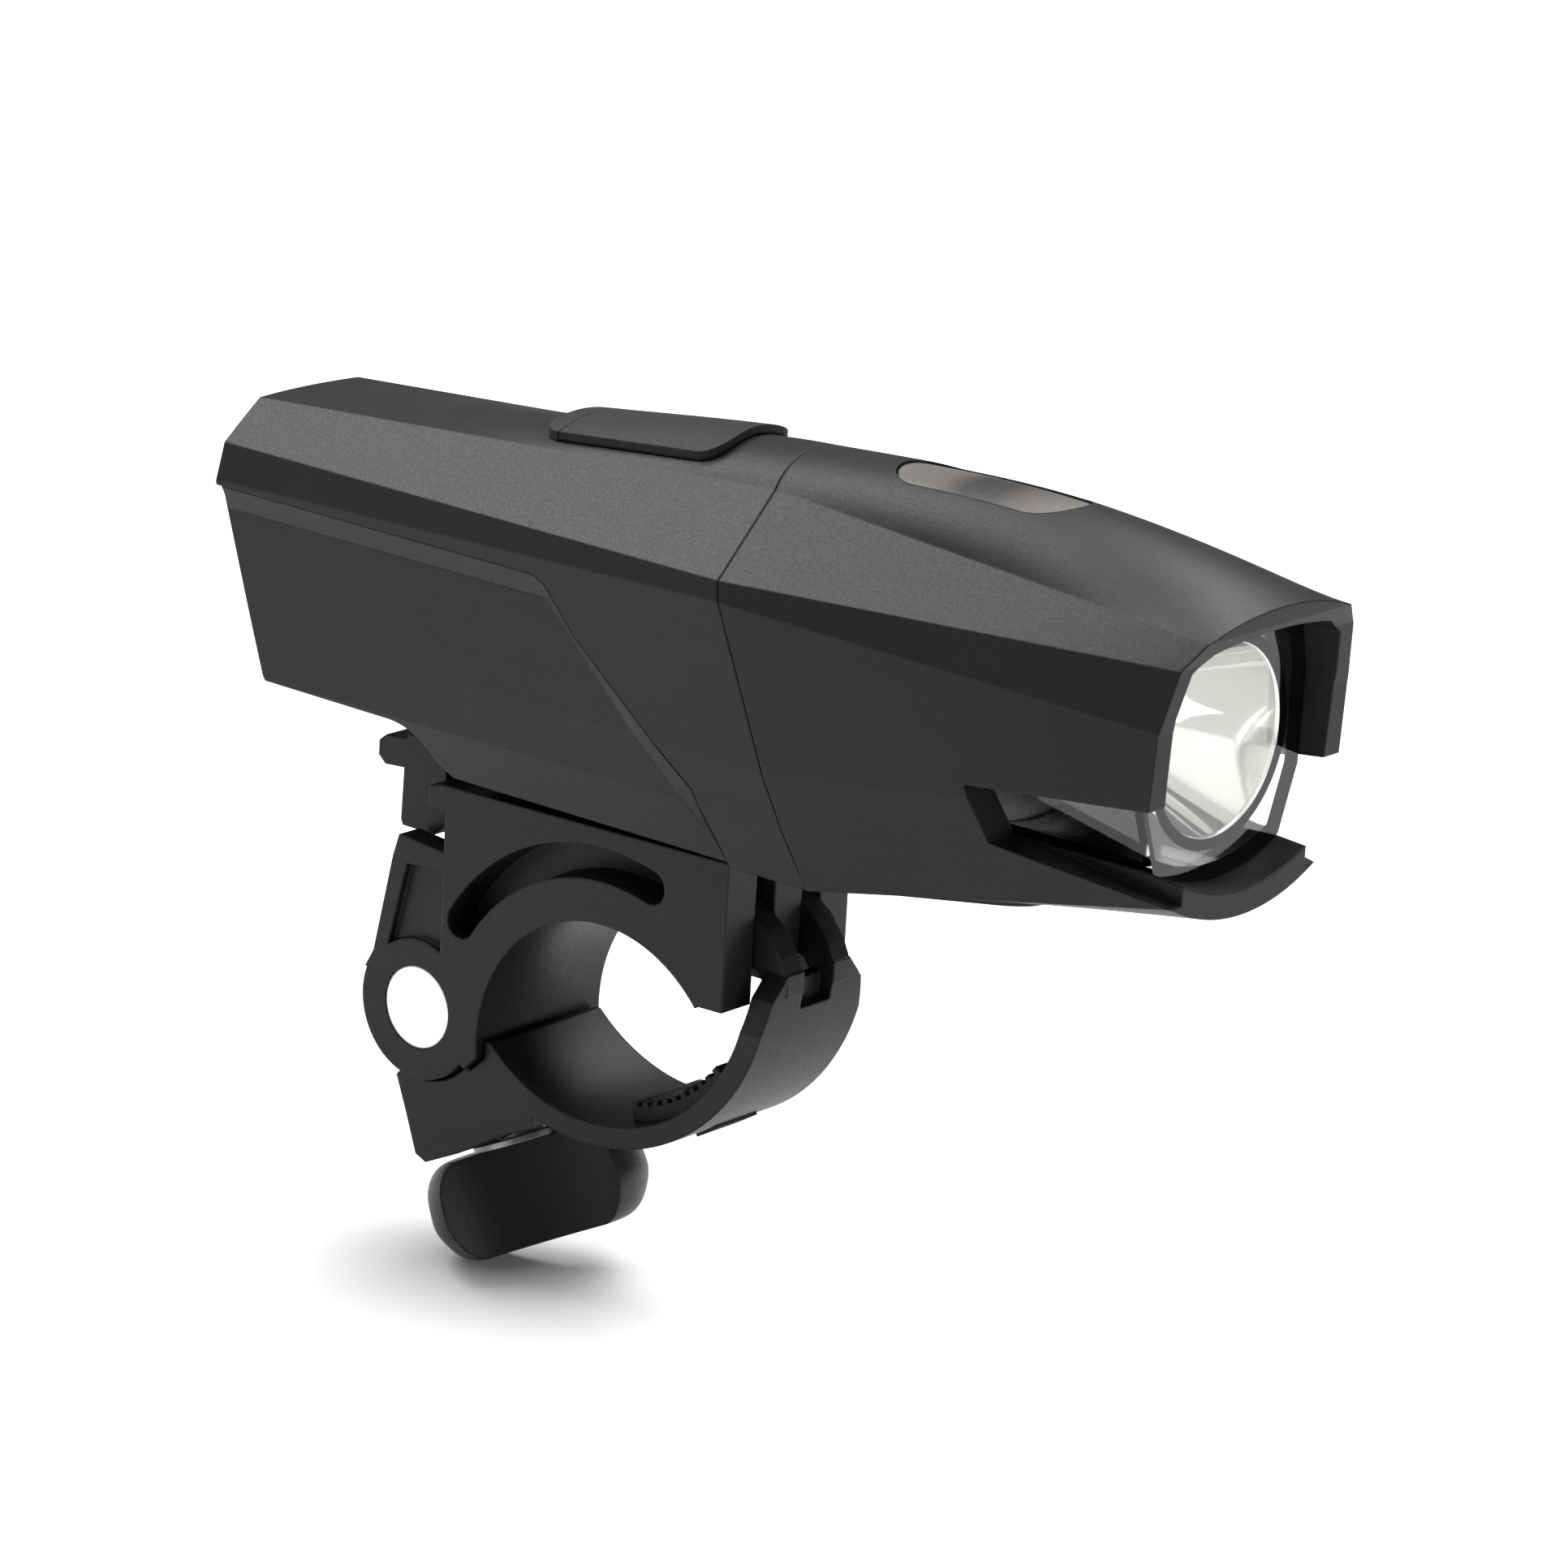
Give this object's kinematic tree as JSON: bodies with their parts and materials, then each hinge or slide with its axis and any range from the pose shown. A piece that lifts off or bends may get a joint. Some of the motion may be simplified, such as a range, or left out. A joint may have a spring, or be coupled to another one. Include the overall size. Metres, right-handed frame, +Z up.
{
  "type": "bike headlight",
  "caption": "Rechargeable bicycle headlight with a hooded lens and side windows, on a handlebar clamp with a hinged strap, clamp knob and release catch.",
  "frame": {"origin": "centre of the clamp's saddle for the handlebar, on the light's mid-plane", "axes": "+X the way the beam goes, +Z up, +Y along the handlebar to the rider's left"},
  "size_m": [0.122, 0.0354, 0.092],
  "materials": {
    "body_plastic": "fine moulded texture, charcoal ABS",
    "clamp_plastic": "fine texture, glass-filled nylon",
    "rubber": "matt moulded rubber",
    "foam": "foam rubber",
    "smoke_plastic": "satin smoke-tinted polycarbonate",
    "white_plastic": "white moulded lamp bodies",
    "lens_plastic": "clear polished polycarbonate",
    "mirror_coat": "vapour-coated mirror",
    "sink_metal": "die-cast, bare",
    "nut_metal": "bright nickel plating",
    "screw_metal": "zinc-plated steel",
    "board": "solder-masked laminate",
    "cell_can": "shrink-wrapped cell",
    "socket_metal": "plated shell"
  },
  "bodies": {
    "bracket": {"bracket": "clamp_plastic", "saddle_liner": "rubber", "latch_pin": "screw_metal", "latch_spring": "screw_metal", "hinge_pin": "screw_metal"},
    "light": {"rear_housing": "body_plastic", "head_housing": "body_plastic", "housing_seal": "rubber", "housing_screws": "screw_metal", "screw_cover": "body_plastic", "cover_anchor": "rubber", "charge_socket": "socket_metal", "button_seal": "rubber", "tactile_switch": "white_plastic", "indicator_leds": "white_plastic", "control_board": "board", "board_screws": "screw_metal", "lens": "lens_plastic", "lens_seal": "rubber", "reflector": "mirror_coat", "led_emitter": "white_plastic", "led_board": "sink_metal", "heat_sink": "sink_metal", "sink_screws": "screw_metal", "battery_cell": "cell_can", "battery_tabs": "nut_metal", "battery_pads": "foam", "mounting_foot": "clamp_plastic", "foot_screws": "screw_metal"},
    "cover": {"port_cover": "rubber"},
    "button": {"power_button": "smoke_plastic"},
    "latch": {"release_latch": "clamp_plastic"},
    "strap": {"strap": "clamp_plastic", "strap_pad": "rubber"},
    "nut": {"barrel_nut": "nut_metal"},
    "knob": {"clamp_bolt": "screw_metal", "washer": "screw_metal", "knob": "clamp_plastic"}
  },
  "joints": [
    {"name": "light_slide", "type": "slide", "parent": "bracket", "child": "light", "axis": [1, 0, 0], "range_m": [0, 0.04]},
    {"name": "power_button", "type": "slide", "parent": "light", "child": "button", "axis": [0, 0, -1], "range_m": [0, 0.0006], "stiffness_N_per_m": 2000, "springref_m": -0.0002},
    {"name": "port_cover", "type": "hinge", "parent": "light", "child": "cover", "pos_m": [-0.01142, 0, 0.06367], "axis": [0, -1, 0], "range_deg": [0, 100]},
    {"name": "release_latch", "type": "hinge", "parent": "bracket", "child": "latch", "pos_m": [-0.004, 0, 0.0215], "axis": [0, -1, 0], "range_deg": [0, 6.5], "stiffness_Nm_per_rad": 0.8, "springref_deg": -2.86, "deforming": ["latch_spring"]},
    {"name": "strap_open", "type": "hinge", "parent": "bracket", "child": "strap", "pos_m": [0.0122, 0, 0.0182], "axis": [0, -1, 0], "range_deg": [0, 75]},
    {"name": "nut_swivel", "type": "hinge", "parent": "bracket", "child": "nut", "pos_m": [-0.0241, 0, 0.00138], "axis": [0, -1, 0], "range_deg": [0, 75]},
    {"name": "knob_turn", "type": "hinge", "parent": "strap", "child": "knob", "pos_m": [-0.0241, 0, 0.00138], "axis": [0.4384, 0, -0.8988], "continuous": true}
  ],
  "couplings": [
    {"joint": "nut_swivel", "follows": "strap_open", "ratio": 1}
  ]
}
